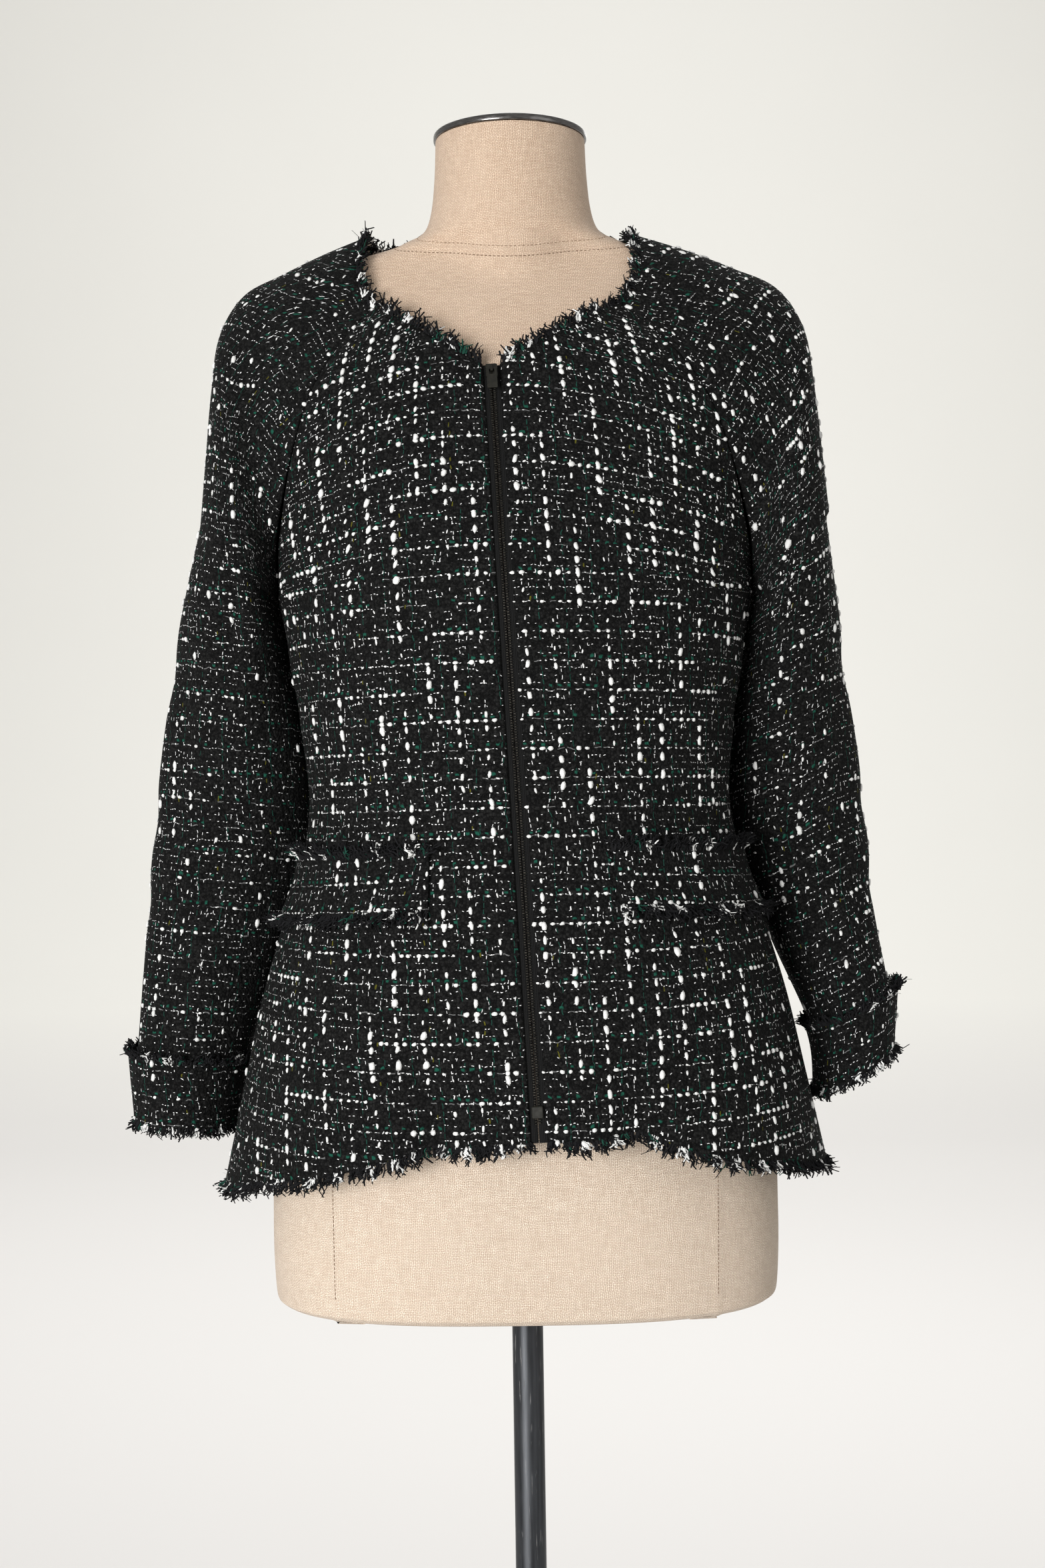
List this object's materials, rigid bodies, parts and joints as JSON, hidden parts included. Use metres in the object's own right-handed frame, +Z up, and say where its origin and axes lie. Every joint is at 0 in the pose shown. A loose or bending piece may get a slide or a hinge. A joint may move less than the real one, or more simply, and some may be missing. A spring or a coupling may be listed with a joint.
{
  "type": "casual jacket on a dress form",
  "caption": "Collarless zip-front tweed jacket with raglan sleeves, frayed edges and strip pockets, worn by a limbless linen dress form on a pole stand.",
  "frame": {"origin": "on the floor, under the middle of the stand's round base", "axes": "+Z up along the pole, the jacket's front faces -Y, +X to the right of the picture"},
  "size_m": [0.5301, 0.33, 1.4301],
  "materials": {
    "tweed": "black boucle tweed with white, green and silver threads",
    "fray": "loose threads of the tweed",
    "zip_tape": "black woven tape",
    "zip_metal": "dark gunmetal",
    "linen": "natural linen, slubbed",
    "cap_metal": "dark polished nickel",
    "stand_steel": "worn black paint"
  },
  "bodies": {
    "jacket_on_form": {"front_left": "tweed", "front_right": "tweed", "back": "tweed", "sleeve_left": "tweed", "sleeve_right": "tweed", "cuff_left": "tweed", "cuff_right": "tweed", "pocket_left": "tweed", "pocket_right": "tweed", "fray_hem": "fray", "fray_neck": "fray", "fray_cuff_left_low": "fray", "fray_cuff_left_high": "fray", "fray_cuff_right_low": "fray", "fray_cuff_right_high": "fray", "fray_pocket_left_low": "fray", "fray_pocket_left_high": "fray", "fray_pocket_right_low": "fray", "fray_pocket_right_high": "fray", "zip_tape_left": "zip_tape", "zip_tape_right": "zip_tape", "zip_chain": "zip_metal", "zip_slider": "zip_metal", "zip_box": "zip_metal", "form_torso": "linen", "form_cap": "cap_metal", "stand_pole": "stand_steel", "stand_base": "stand_steel"},
    "pull_tab": {"zip_pull": "zip_metal"}
  },
  "joints": [
    {"name": "pull_tab_swing", "type": "hinge", "parent": "jacket_on_form", "child": "pull_tab", "pos_m": [-0.01371, -0.10434, 1.25177], "axis": [-0.9991, -0.0163, -0.0397], "range_deg": [0, 150]}
  ]
}
